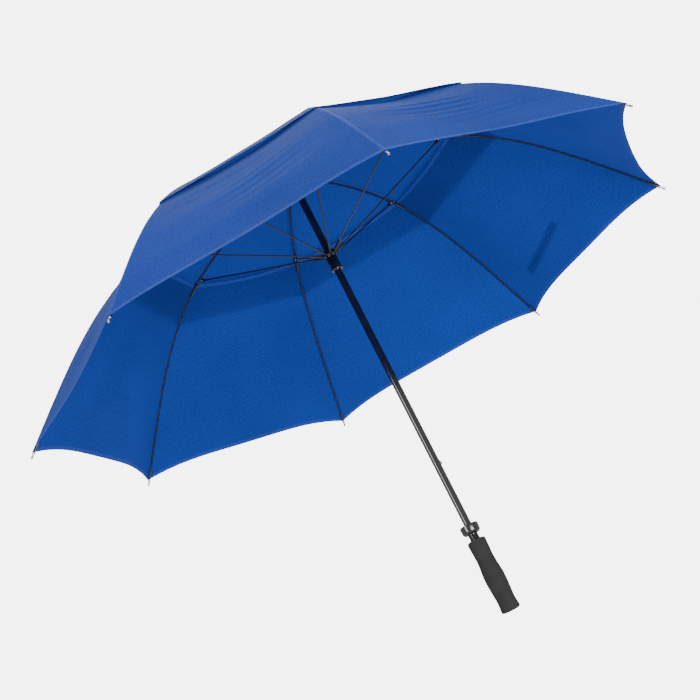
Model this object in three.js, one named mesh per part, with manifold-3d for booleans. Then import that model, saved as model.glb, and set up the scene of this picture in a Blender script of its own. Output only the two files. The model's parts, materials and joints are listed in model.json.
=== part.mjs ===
// A manual golf umbrella, open: a tubular shaft with a foam grip, a runner that slides on the shaft,
// eight ribs held up by eight stretchers, and a vented canopy of two overlapping layers.
// Millimetres. +Z runs up the shaft, and the origin is the centre of the grip's end face.
import * as THREE from "three";
import { mergeVertices } from "three/addons/utils/BufferGeometryUtils.js";
import Module from "manifold-3d";

const wasm = await Module();
wasm.setup();

// ---- Driving dimensions ----
const RIB_COUNT = 8;
const PITCH = (2 * Math.PI) / RIB_COUNT; // angle between ribs
const HALF_PITCH = PITCH / 2;
const TIP_RADIUS = 650; // reach of the rib tips from the shaft
const TIP_HEIGHT = 598;
const CROWN_HEIGHT = 914.5; // height of the rib hinges
const CROWN_HINGE_RADIUS = 11;
const JOINT_RADIUS = 297; // where the stretchers meet the ribs
const JOINT_DROP = 7; // stretcher pivot below the rib's centreline
const FLEX_RADIUS = 307; // where the inner rib ends and the outer rib begins
const RUNNER_PIVOT_HEIGHT = 739;
const RUNNER_PIVOT_RADIUS = 12;
const SPRING_AZIMUTH = -HALF_PITCH; // both catches point between two stretchers
const GAP = 0.35; // between parts that touch

const INNER_ROD = 1.8; // rod radii
const OUTER_ROD = 1.5;
const STRETCHER_ROD = 1.5;
const TIP = { length: 14, radius: 2.5, socket: OUTER_ROD + GAP, socketDepth: 7 };

const SHAFT = { outer: 7, inner: 6, bottom: 8, top: 949.5 };
const SHAFT_BORE = SHAFT.outer + GAP;
const GRIP_LENGTH = 136.5;
const CUP = { bottom: 148.5, floor: 152.5, rim: 166, recess: 15.2 };
const RUNNER = { bottom: 705, top: 744, body: 10.2, bottomFlange: 11.6, topFlange: 14.2, notch: 8.5 };

const CLOTH = 1; // thickness of each canopy layer
const LOWER_LIFT = 3.4; // inner face of the lower layer above the rib's centreline
const TOP_LIFT = LOWER_LIFT + CLOTH + 1.6;
const LOWER_SAG = 11; // how far the lower layer dips midway between ribs
const TOP_SAG = 2;
const CANOPY_HOLE = 8.5;
const HEM_RADIUS = 316; // inner edge of the lower layer
const VENT_RADIUS = 403; // outer edge of the top layer
const CORNER_RADIUS = 643; // where the canopy is tied to the tips
const RIM_SCALLOP = 16; // how far the rim draws in midway between ribs
const VENT_SCALLOP = 10;

// ---- Solids: joining, cutting and shaping ----
function toSolid(geometry) {
  const bare = geometry.clone();
  bare.deleteAttribute("normal");
  bare.deleteAttribute("uv");
  const merged = mergeVertices(bare, 1e-3);
  const mesh = new wasm.Mesh({
    numProp: 3,
    vertProperties: new Float32Array(merged.attributes.position.array),
    triVerts: new Uint32Array(merged.index.array),
  });
  return new wasm.Manifold(mesh);
}

function toGeometry(solid) {
  const mesh = solid.getMesh();
  const geometry = new THREE.BufferGeometry();
  geometry.setAttribute("position", new THREE.BufferAttribute(new Float32Array(mesh.vertProperties), 3));
  geometry.setIndex(new THREE.BufferAttribute(new Uint32Array(mesh.triVerts), 1));
  return geometry;
}

const join = (...geometries) => toGeometry(geometries.map(toSolid).reduce((a, b) => a.add(b)));
const cut = (body, ...tools) => toGeometry(tools.map(toSolid).reduce((a, b) => a.subtract(b), toSolid(body)));

const box = (x, y, z, at = [0, 0, 0]) => new THREE.BoxGeometry(x, y, z).translate(...at);

// A disc or pin whose axis lies along Y, at a point in the XZ plane.
const pinY = (radius, width, [x, z] = [0, 0], sides = 8) =>
  new THREE.CylinderGeometry(radius, radius, width, sides).translate(x, 0, z);

// A turned piece about Z, from [radius, height] points listed counter-clockwise.
function turned(points, sides = 16) {
  const profile = [...points, points[0]].map(([r, z]) => new THREE.Vector2(r, z));
  return new THREE.LatheGeometry(profile, sides).rotateX(Math.PI / 2);
}

function rodAlong(curve, radius, steps, sides = 6) {
  const section = new THREE.Shape(
    Array.from({ length: sides }, (_, i) => {
      const a = (2 * Math.PI * (i + 0.5)) / sides;
      return new THREE.Vector2(radius * Math.cos(a), radius * Math.sin(a));
    }),
  );
  return new THREE.ExtrudeGeometry(section, { extrudePath: curve, steps, bevelEnabled: false });
}

// A curved sheet: a box of cells whose unit coordinates place() carries to their position.
function sheet(lengthCells, widthCells, place) {
  const geometry = new THREE.BoxGeometry(1, 1, 1, lengthCells, widthCells, 1);
  const position = geometry.attributes.position;
  for (let i = 0; i < position.count; i++) {
    const point = place(position.getX(i) + 0.5, position.getY(i) + 0.5, position.getZ(i) + 0.5);
    position.setXYZ(i, ...point);
  }
  return geometry;
}

// ---- The rib's line, in the plane of one rib: x is the radius, z the height ----
const RIB_LINE = new THREE.CubicBezierCurve3(
  new THREE.Vector3(CROWN_HINGE_RADIUS, 0, CROWN_HEIGHT),
  new THREE.Vector3(360, 0, CROWN_HEIGHT + 3),
  new THREE.Vector3(443, 0, CROWN_HEIGHT - 98),
  new THREE.Vector3(TIP_RADIUS, 0, TIP_HEIGHT),
);

class RibStretch extends THREE.Curve {
  constructor(from, to) {
    super();
    Object.assign(this, { from, to });
  }
  getPoint(t, target = new THREE.Vector3()) {
    return RIB_LINE.getPoint(this.from + (this.to - this.from) * t, target);
  }
}

// The curve parameter where the rib's line has a given radius, by halving.
function atRadius(radius) {
  let low = 0;
  let high = 1;
  for (let i = 0; i < 40; i++) {
    const middle = (low + high) / 2;
    if (RIB_LINE.getPoint(middle).x < radius) low = middle;
    else high = middle;
  }
  return low;
}

// Point, slope below the horizontal and outward normal of the rib's line at a radius.
function ribAt(radius) {
  const t = atRadius(Math.max(radius, CROWN_HINGE_RADIUS));
  const point = RIB_LINE.getPoint(t);
  const tangent = RIB_LINE.getTangent(t);
  const slope = Math.atan2(-tangent.z, tangent.x);
  return { t, x: radius, z: point.z, slope, tangent: [Math.cos(slope), -Math.sin(slope)] };
}

// Moves a geometry made at the origin along X to a point of the rib, turned to the rib's slope there.
const ontoRib = (geometry, { x, z, slope }) => geometry.rotateY(slope).translate(x, 0, z);

const FLEX = ribAt(FLEX_RADIUS);
const JOINT_STATION = ribAt(JOINT_RADIUS);
const JOINT = {
  x: JOINT_STATION.x - JOINT_DROP * Math.sin(JOINT_STATION.slope),
  z: JOINT_STATION.z - JOINT_DROP * Math.cos(JOINT_STATION.slope),
};

// ---- Materials ----
const material = (color, roughness, metalness) =>
  new THREE.MeshStandardMaterial({ color, roughness, metalness });
const BLUE_CLOTH = material(0x174c9f, 0.75, 0);
const BLACK_STEEL = material(0x16161a, 0.35, 0.6);
const BLACK_PLASTIC = material(0x141416, 0.45, 0);
const NICKEL = material(0xc9c9cc, 0.25, 1);
const FOAM = material(0x2c2a2d, 0.9, 0);
const SPRING_STEEL = material(0xb8b8b8, 0.35, 1);

function add(group, name, geometry, finish) {
  const mesh = new THREE.Mesh(geometry, finish);
  mesh.name = name;
  group.add(mesh);
  return mesh;
}

// ---- Shaft and what is fixed to it ----
const CATCH = { reach: 10.5, width: 1.6, ramp: 13, stem: 60, stemIn: 3.4, stemOut: 5.2 };
const TOP_CATCH = RUNNER.bottom - 0.5; // shoulder, just under the open runner
const BOTTOM_CATCH = 286; // shoulder, inside the closed runner's window
const PIN_HEIGHT = RUNNER.top + 2;
const PIN_AZIMUTH = 3 * HALF_PITCH;

function shaft() {
  const tube = turned([
    [SHAFT.inner, SHAFT.bottom],
    [SHAFT.outer, SHAFT.bottom],
    [SHAFT.outer, SHAFT.top],
    [SHAFT.inner, SHAFT.top],
  ]);
  const slot = (low, high) =>
    box(8, CATCH.width + 2 * GAP, high - low, [8, 0, (low + high) / 2]).rotateZ(SPRING_AZIMUTH);
  const pinHole = pinY(1.1 + GAP, 30).rotateZ(PIN_AZIMUTH).translate(0, 0, PIN_HEIGHT);
  return cut(
    tube,
    slot(TOP_CATCH - CATCH.ramp - 3, TOP_CATCH + 3),
    slot(BOTTOM_CATCH - 3, BOTTOM_CATCH + CATCH.ramp + 3),
    pinHole,
  );
}

// A flat spring inside the shaft with a sloping catch that sticks out of the slot.
// ramp is +1 where the slope lies above the shoulder.
function catchSpring(shoulder, ramp) {
  const foot = Math.min(shoulder, shoulder + ramp * CATCH.ramp) - CATCH.stem;
  const head = Math.max(shoulder, shoulder + ramp * CATCH.ramp);
  const outline = [
    [CATCH.stemIn, foot],
    [CATCH.stemOut, foot],
    [CATCH.stemOut, Math.min(shoulder, shoulder + ramp * CATCH.ramp)],
    ...(ramp > 0
      ? [[CATCH.reach, shoulder], [CATCH.reach, shoulder + 1.5]]
      : [[CATCH.reach, shoulder - 1.5], [CATCH.reach, shoulder]]),
    [CATCH.stemOut, head],
    [CATCH.stemIn, head],
  ];
  const shape = new THREE.Shape(outline.map(([r, z]) => new THREE.Vector2(r, z)));
  return new THREE.ExtrudeGeometry(shape, { depth: CATCH.width, bevelEnabled: false })
    .rotateX(Math.PI / 2)
    .translate(0, CATCH.width / 2, 0)
    .rotateZ(SPRING_AZIMUTH);
}

const stopperPin = () => pinY(1.1, 19).rotateZ(PIN_AZIMUTH).translate(0, 0, PIN_HEIGHT);

// Foam grip: two waists and a palm swell, closed at its end face, bored for the shaft.
function grip() {
  const contour = new THREE.SplineCurve(
    [
      [17.8, 4], [16.8, 16], [16.9, 28], [18.1, 44], [18.8, 62],
      [18.2, 75], [16.9, 88], [16.1, 101], [16.7, 116], [17.4, 131],
    ].map(([r, z]) => new THREE.Vector2(r, z)),
  );
  const wall = contour.getPoints(12).map((p) => [p.x, p.y]);
  return turned([
    [0, 0],
    [16.2, 0],
    [17.4, 1.2],
    ...wall,
    [16.8, GRIP_LENGTH - 2],
    [15.2, GRIP_LENGTH],
    [SHAFT_BORE, GRIP_LENGTH],
    [SHAFT_BORE, SHAFT.bottom - GAP],
    [0, SHAFT.bottom - GAP],
  ]);
}

// Cup that shelters the rib tips when the umbrella is closed, on a ridged neck.
function tipCup() {
  const neckBottom = GRIP_LENGTH + 0.5;
  const ridges = [0, 1, 2].flatMap((i) => {
    const z = neckBottom + 2 + i * 3.6;
    return [[8.6, z], [9.8, z + 0.8], [8.6, z + 1.6]];
  });
  return turned([
    [SHAFT_BORE, neckBottom],
    [8.6, neckBottom],
    ...ridges,
    [9, CUP.bottom],
    [13, CUP.bottom + 0.5],
    [16.2, CUP.bottom + 3],
    [17.2, CUP.bottom + 7],
    [17.2, CUP.rim - 0.8],
    [16.6, CUP.rim],
    [15.7, CUP.rim],
    [CUP.recess, CUP.rim - 1],
    [CUP.recess, CUP.floor],
    [9.2, CUP.floor],
    [9.2, CUP.floor + 3],
    [SHAFT_BORE, CUP.floor + 3],
  ]);
}

// Notched crown: the rib eyes sit in its slots, which open outward and downward.
function crown() {
  const top = CROWN_HEIGHT + TOP_LIFT - GAP;
  const bottom = CROWN_HEIGHT - 9;
  const body = turned([
    [SHAFT_BORE, bottom],
    [10.5, bottom],
    [14, bottom + 3],
    [14, top - 0.8],
    [13.2, top],
    [SHAFT_BORE, top],
  ]);
  const slotTop = CROWN_HEIGHT + 2.2 + GAP;
  const slots = Array.from({ length: RIB_COUNT }, (_, i) =>
    box(10, 4.1, 40, [CROWN_HINGE_RADIUS - 2.2 - GAP + 5, 0, slotTop - 20]).rotateZ(i * PITCH),
  );
  return cut(body, ...slots);
}

const CAP_BOTTOM = CROWN_HEIGHT + TOP_LIFT + CLOTH + 0.5;
const canopyCap = () =>
  turned([
    [SHAFT_BORE, CAP_BOTTOM],
    [17, CAP_BOTTOM],
    [17.4, CAP_BOTTOM + 0.8],
    [14.5, CAP_BOTTOM + 2.6],
    [11, CAP_BOTTOM + 3.4],
    [SHAFT_BORE, CAP_BOTTOM + 3.6],
  ]);

function ferrule() {
  const bottom = CAP_BOTTOM + 3.6 + GAP;
  const outline = [
    [10.4, bottom], [10.6, bottom + 3], [9.4, bottom + 5], [8.9, bottom + 28], [7.6, bottom + 42],
    [6.2, bottom + 50], [5.6, bottom + 55], [4, bottom + 57.5], [0, bottom + 58.4],
  ];
  return turned([
    [SHAFT_BORE, bottom],
    ...outline,
    [0, SHAFT.top + GAP],
    [SHAFT_BORE, SHAFT.top + GAP],
  ], 12);
}

// ---- Runner ----
function runner() {
  const body = turned([
    [SHAFT_BORE, RUNNER.bottom],
    [RUNNER.bottomFlange, RUNNER.bottom],
    [RUNNER.bottomFlange, RUNNER.bottom + 3.5],
    [RUNNER.body, RUNNER.bottom + 4.2],
    [RUNNER.body, RUNNER.top - RUNNER.notch - 2],
    [RUNNER.topFlange - 1.5, RUNNER.top - RUNNER.notch],
    [RUNNER.topFlange, RUNNER.top - RUNNER.notch + 1],
    [RUNNER.topFlange, RUNNER.top - 1],
    [RUNNER.topFlange - 1, RUNNER.top],
    [SHAFT_BORE, RUNNER.top],
  ]);
  const slots = Array.from({ length: RIB_COUNT }, (_, i) =>
    box(10, 4.2, 30, [RUNNER_PIVOT_RADIUS - 2.2 - GAP + 5, 0, RUNNER.top - 10]).rotateZ(i * PITCH),
  );
  const window = box(8, 3.6, 14, [10, 0, RUNNER.bottom + 11.5]).rotateZ(SPRING_AZIMUTH);
  return cut(body, ...slots, window);
}

// ---- One rib with its tip, stretcher and canopy sector, in the rib's own plane ----

// Two cheeks around a knuckle at the origin, open as far as x = 4.1 and joined from there to x = 6.
function fork(radius, width, slot) {
  const blank = join(pinY(radius, width), box(6, width, 1.75 * radius, [3, 0, 0]));
  return cut(blank, box(9, slot, 12, [-0.4, 0, 0]));
}

function ribInner() {
  const eye = pinY(2.2, 2.4, [CROWN_HINGE_RADIUS, CROWN_HEIGHT]);
  const rod = rodAlong(new RibStretch(0, atRadius(FLEX_RADIUS - 4.5)), INNER_ROD, 6);
  const knuckle = join(pinY(2.6, 1.8), box(6, 1.8, 3, [-3, 0, 0]));
  const lug = join(
    box(6, 2, JOINT_DROP, [0, 0, -JOINT_DROP / 2]),
    pinY(2.4, 2, [0, -JOINT_DROP]),
    pinY(1.1, 6.2, [0, -JOINT_DROP], 8),
  );
  return join(rod, eye, ontoRib(knuckle, FLEX), ontoRib(lug, JOINT_STATION));
}

function ribOuter() {
  const stretch = (from, to) => new RibStretch(atRadius(from), atRadius(to));
  const sleeveEnd = FLEX_RADIUS + 30;
  const socketEnd = TIP_RADIUS - (TIP.length - TIP.socketDepth + 1);
  const sleeve = rodAlong(stretch(FLEX_RADIUS + 4, sleeveEnd), 2.5, 2);
  const rod = rodAlong(stretch(sleeveEnd - 2, socketEnd), OUTER_ROD, 8);
  const collar = rodAlong(stretch(TIP_RADIUS - 23, TIP_RADIUS - 11), 2.3, 1);
  return join(ontoRib(fork(2.9, 5, 2.4), FLEX), sleeve, rod, collar);
}

// Turned metal tip with a socket for the rib's end.
function ribTip() {
  const end = ribAt(TIP_RADIUS);
  const profile = [
    [TIP.socket, 0],
    [TIP.radius, 0.5],
    [TIP.radius, 3],
    [2, 4.5],
    [2, TIP.length - 4],
    [2.4, TIP.length - 2.8],
    [2.2, TIP.length - 0.8],
    [1.2, TIP.length],
    [0, TIP.length],
    [0, TIP.socketDepth],
    [TIP.socket, TIP.socketDepth],
  ];
  return turned(profile, 8)
    .translate(0, 0, -TIP.length)
    .rotateY(Math.PI / 2 + end.slope)
    .translate(TIP_RADIUS, 0, TIP_HEIGHT);
}

// Along +X from the pivot on the rib: fork, thin rod, then a thick prong that ends in the runner's notch.
function stretcher() {
  const dx = RUNNER_PIVOT_RADIUS - JOINT.x;
  const dz = RUNNER_PIVOT_HEIGHT - JOINT.z;
  const length = Math.hypot(dx, dz);
  const prong = 27;
  const ends = cut(fork(2.8, 5.1, 2.7), pinY(1.1 + GAP, 12, [0, 0], 8));
  const socket = box(11, 5.1, 4.6, [10, 0, 0]);
  const rod = rodAlong(
    new THREE.LineCurve3(new THREE.Vector3(14, 0, 0), new THREE.Vector3(length - prong + 1, 0, 0)),
    STRETCHER_ROD,
    1,
  );
  const bar = box(prong - 1, 3.2, 5, [length - (prong + 1) / 2, 0, 0]);
  const eye = pinY(2.2, 3.2, [length, 0]);
  return join(ends, socket, rod, cut(bar, box(6, 6, 6, [length + 2, 0, 0])), eye)
    .rotateY(Math.atan2(-dz, dx))
    .translate(JOINT.x, 0, JOINT.z);
}

// A point of the canopy: between ribs the cloth is stretched straight at each height, then dips by sag.
function clothPoint(radius, angle, lift, sag) {
  const away = HALF_PITCH - Math.abs(angle); // from the mid plane between two ribs
  const { z, slope } = ribAt(radius);
  const reach = (radius * Math.cos(HALF_PITCH)) / Math.cos(away);
  const ease = Math.min(1, radius / HEM_RADIUS);
  const raise = lift - sag * ease * (1 - (away / HALF_PITCH) ** 2);
  const out = reach + raise * Math.sin(slope);
  return [out * Math.cos(angle), out * Math.sin(angle), z + raise * Math.cos(slope)];
}

// Keeps a point a little inside the plane midway between this rib and the next.
function insideSector([x, y, z]) {
  const side = Math.sign(y) || 1;
  const [nx, ny] = [-Math.sin(HALF_PITCH), Math.cos(HALF_PITCH) * side];
  const over = x * nx + y * ny + GAP / 2;
  return over > 0 ? [x - over * nx, y - over * ny, z] : [x, y, z];
}

// One sector of a canopy layer, from midway between two ribs, across a rib, to midway to the next.
function clothSector({ inner, outer, scallop, lift, sag, cells }) {
  return sheet(cells, 6, (u, v, w) => {
    const angle = (2 * v - 1) * HALF_PITCH;
    const away = 1 - Math.abs(angle) / HALF_PITCH;
    const edge = outer - scallop * (1 - away ** 4);
    return insideSector(clothPoint(inner + (edge - inner) * u, angle, lift + CLOTH * w, sag));
  });
}

const TOP_LAYER = {
  inner: CANOPY_HOLE, outer: VENT_RADIUS, scallop: VENT_SCALLOP, lift: TOP_LIFT, sag: TOP_SAG, cells: 8,
};
const LOWER_LAYER = {
  inner: HEM_RADIUS, outer: CORNER_RADIUS, scallop: RIM_SCALLOP, lift: LOWER_LIFT, sag: LOWER_SAG, cells: 7,
};

// Tie strap lying on the outside of the lower layer, beside the second rib.
function tieStrap() {
  const [from, to] = [{ radius: 589, angle: -0.133 }, { radius: 563, angle: -0.44 }];
  const halfWidth = 6.5;
  return sheet(8, 1, (u, v, w) => {
    const radius = from.radius + (to.radius - from.radius) * u + (2 * v - 1) * halfWidth;
    const angle = from.angle + (to.angle - from.angle) * u;
    return clothPoint(radius, angle, LOWER_LIFT + CLOTH + 0.6 + 1.2 * w, LOWER_SAG);
  });
}

// ---- Assembly ----
const umbrella = new THREE.Group();
add(umbrella, "shaft", shaft(), BLACK_STEEL);
add(umbrella, "grip", grip(), FOAM);
add(umbrella, "tip_cup", tipCup(), BLACK_PLASTIC);
add(umbrella, "crown", crown(), BLACK_PLASTIC);
add(umbrella, "canopy_cap", canopyCap(), BLACK_PLASTIC);
add(umbrella, "ferrule", ferrule(), BLACK_PLASTIC);
add(umbrella, "runner", runner(), BLACK_PLASTIC);
add(umbrella, "stopper_pin", stopperPin(), SPRING_STEEL);
add(umbrella, "top_spring", catchSpring(TOP_CATCH, -1), SPRING_STEEL);
add(umbrella, "bottom_spring", catchSpring(BOTTOM_CATCH, 1), SPRING_STEEL);

for (let i = 0; i < RIB_COUNT; i++) {
  const rib = new THREE.Group();
  rib.rotation.z = i * PITCH;
  const number = i + 1;
  add(rib, `rib_inner_${number}`, ribInner(), BLACK_STEEL);
  add(rib, `rib_outer_${number}`, ribOuter(), BLACK_STEEL);
  add(rib, `rib_tip_${number}`, ribTip(), NICKEL);
  add(rib, `stretcher_${number}`, stretcher(), BLACK_STEEL);
  add(rib, `top_canopy_${number}`, clothSector(TOP_LAYER), BLUE_CLOTH);
  add(rib, `lower_canopy_${number}`, clothSector(LOWER_LAYER), BLUE_CLOTH);
  if (number === 2) add(rib, "tie_strap", tieStrap(), BLUE_CLOTH);
  umbrella.add(rib);
}

export default umbrella;
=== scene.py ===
"""A vented golf umbrella, open, in a plain pale studio."""

import json
import math

import bmesh
import bpy
import numpy as np
from mathutils import Matrix, Vector


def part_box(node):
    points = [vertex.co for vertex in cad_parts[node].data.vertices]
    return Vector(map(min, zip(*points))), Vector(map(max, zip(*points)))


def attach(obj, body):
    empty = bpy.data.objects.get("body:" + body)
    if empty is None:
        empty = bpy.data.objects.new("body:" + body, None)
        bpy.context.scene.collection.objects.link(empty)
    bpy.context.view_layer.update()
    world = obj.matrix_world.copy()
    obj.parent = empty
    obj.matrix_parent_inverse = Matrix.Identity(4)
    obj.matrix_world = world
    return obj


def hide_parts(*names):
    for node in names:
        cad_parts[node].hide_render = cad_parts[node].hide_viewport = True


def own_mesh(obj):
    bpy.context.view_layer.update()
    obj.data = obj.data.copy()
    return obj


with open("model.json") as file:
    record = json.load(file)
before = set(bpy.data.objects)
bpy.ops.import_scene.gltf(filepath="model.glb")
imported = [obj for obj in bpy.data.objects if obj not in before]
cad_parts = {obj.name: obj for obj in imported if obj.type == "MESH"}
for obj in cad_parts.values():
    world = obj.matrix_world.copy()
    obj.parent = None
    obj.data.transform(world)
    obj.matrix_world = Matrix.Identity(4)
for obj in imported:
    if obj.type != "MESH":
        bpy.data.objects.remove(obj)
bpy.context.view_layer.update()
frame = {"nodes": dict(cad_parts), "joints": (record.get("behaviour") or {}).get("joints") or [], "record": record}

# ---- Dimensions, in metres ----
joints = {j["name"]: j for j in frame["joints"]}
RIBS = 8
PITCH = 2 * math.pi / RIBS
HALF_PITCH = PITCH / 2

CROWN = joints["rib_hinge_1"]["pos_m"]  # rib hinge on the first rib
FLEX = joints["rib_flex_1"]["pos_m"]
KNEE = joints["stretcher_hinge_1"]["pos_m"]
TIP_RADIUS = 0.650
TIP_HEIGHT = 0.598
LIFT = 0.0036  # the lower layer above the rib's centreline
TOP_LIFT = LIFT + 0.0026
LOWER_SAG = 0.0105
TOP_SAG = 0.003
CANOPY_HOLE = 0.0088  # round the shaft, under the cap disc
HEM_RADIUS = 0.316  # inner hem of the lower layer
VENT_RADIUS = 0.4025  # outer hem of the top layer
CORNER_RADIUS = 0.6425
RIM_SCALLOP = 0.016
VENT_SCALLOP = 0.010

# ---- The rib's line, as a table of radius, height and slope ----
def bezier(control, samples=3001):
    """Points of a cubic Bezier curve, from its four control points."""
    t = np.linspace(0, 1, samples)[:, None]
    start, first, second, end = np.array(control)
    return (1 - t) ** 3 * start + 3 * (1 - t) ** 2 * t * first + 3 * (1 - t) * t**2 * second + t**3 * end


RIB_LINE = bezier(
    (
        (CROWN[0], CROWN[2]),
        (0.360, CROWN[2] + 0.003),
        (0.443, CROWN[2] - 0.098),
        (TIP_RADIUS, TIP_HEIGHT),
    )
)
RIB_STEP = np.gradient(RIB_LINE, axis=0)
RIB_SLOPE = np.arctan2(-RIB_STEP[:, 1], RIB_STEP[:, 0])


def rib_at(radius):
    """Height and slope of the rib's line at a radius (numbers or arrays)."""
    r = np.maximum(radius, CROWN[0])
    return np.interp(r, RIB_LINE[:, 0], RIB_LINE[:, 1]), np.interp(r, RIB_LINE[:, 0], RIB_SLOPE)


# ---- Node materials ----
def new_material(name):
    material = bpy.data.materials.new(name)
    material.use_nodes = True
    nodes = material.node_tree.nodes
    shader = nodes["Principled BSDF"]
    return material, nodes, material.node_tree.links, shader


def noise(nodes, links, coordinate, scale, detail=3.0):
    node = nodes.new("ShaderNodeTexNoise")
    node.inputs["Scale"].default_value = scale
    node.inputs["Detail"].default_value = detail
    links.new(coordinate, node.inputs["Vector"])
    return node.outputs["Fac"]


def ramp(nodes, links, value, stops):
    node = nodes.new("ShaderNodeValToRGB")
    elements = node.color_ramp.elements
    while len(elements) < len(stops):
        elements.new(0.5)
    for element, (position, color) in zip(elements, stops):
        element.position = position
        element.color = (*color, 1)
    links.new(value, node.inputs["Fac"])
    return node.outputs["Color"]


def span(nodes, links, value, low, high):
    node = nodes.new("ShaderNodeMapRange")
    node.inputs["To Min"].default_value = low
    node.inputs["To Max"].default_value = high
    links.new(value, node.inputs["Value"])
    return node.outputs["Result"]


def math_node(nodes, links, operation, first, second=None):
    node = nodes.new("ShaderNodeMath")
    node.operation = operation
    for socket, value in zip(node.inputs, (first, second)):
        if value is None:
            continue
        if isinstance(value, (int, float)):
            socket.default_value = value
        else:
            links.new(value, socket)
    return node.outputs[0]


def bump(nodes, links, height, distance, strength, normal=None):
    node = nodes.new("ShaderNodeBump")
    node.inputs["Distance"].default_value = distance
    node.inputs["Strength"].default_value = strength
    links.new(height, node.inputs["Height"])
    if normal is not None:
        links.new(normal, node.inputs["Normal"])
    return node.outputs["Normal"]


def hard_material(
    name, dark, light, rough, metallic=0.0, coat=0.0, grain=900.0, wear=0.15, gloss=0.5
):
    """Moulded, enamelled or plated: two close tones, uneven gloss and a fine grain."""
    material, nodes, links, shader = new_material(name)
    place = nodes.new("ShaderNodeTexCoord").outputs["Object"]
    patches = noise(nodes, links, place, 45.0, 4.0)
    fine = noise(nodes, links, place, grain, 2.0)
    links.new(ramp(nodes, links, patches, ((0.35, dark), (0.7, light))), shader.inputs["Base Color"])
    roughness = span(nodes, links, patches, rough - wear * 0.4, rough + wear * 0.6)
    links.new(roughness, shader.inputs["Roughness"])
    links.new(bump(nodes, links, fine, 0.0002, 0.25), shader.inputs["Normal"])
    shader.inputs["Metallic"].default_value = metallic
    shader.inputs["Specular IOR Level"].default_value = gloss
    shader.inputs["Coat Weight"].default_value = coat
    shader.inputs["Coat Roughness"].default_value = 0.12
    return material


def threshold(nodes, links, value, edge, width):
    """1 where value is below edge, falling to 0 over width."""
    node = nodes.new("ShaderNodeMapRange")
    node.inputs["From Min"].default_value = edge + width
    node.inputs["From Max"].default_value = edge
    links.new(value, node.inputs["Value"])
    return node.outputs["Result"]


# Sewing, in metres.
THREAD_PITCH = 0.0011
SEAM_HALF = 0.0038
SEAM_STITCH = 0.0028
HEM_WIDTH = 0.0075
HEM_STITCH = 0.0062
STITCH_PITCH = 0.0026
THROUGH = 0.36  # weight of the translucent shader where the cloth is single


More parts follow.
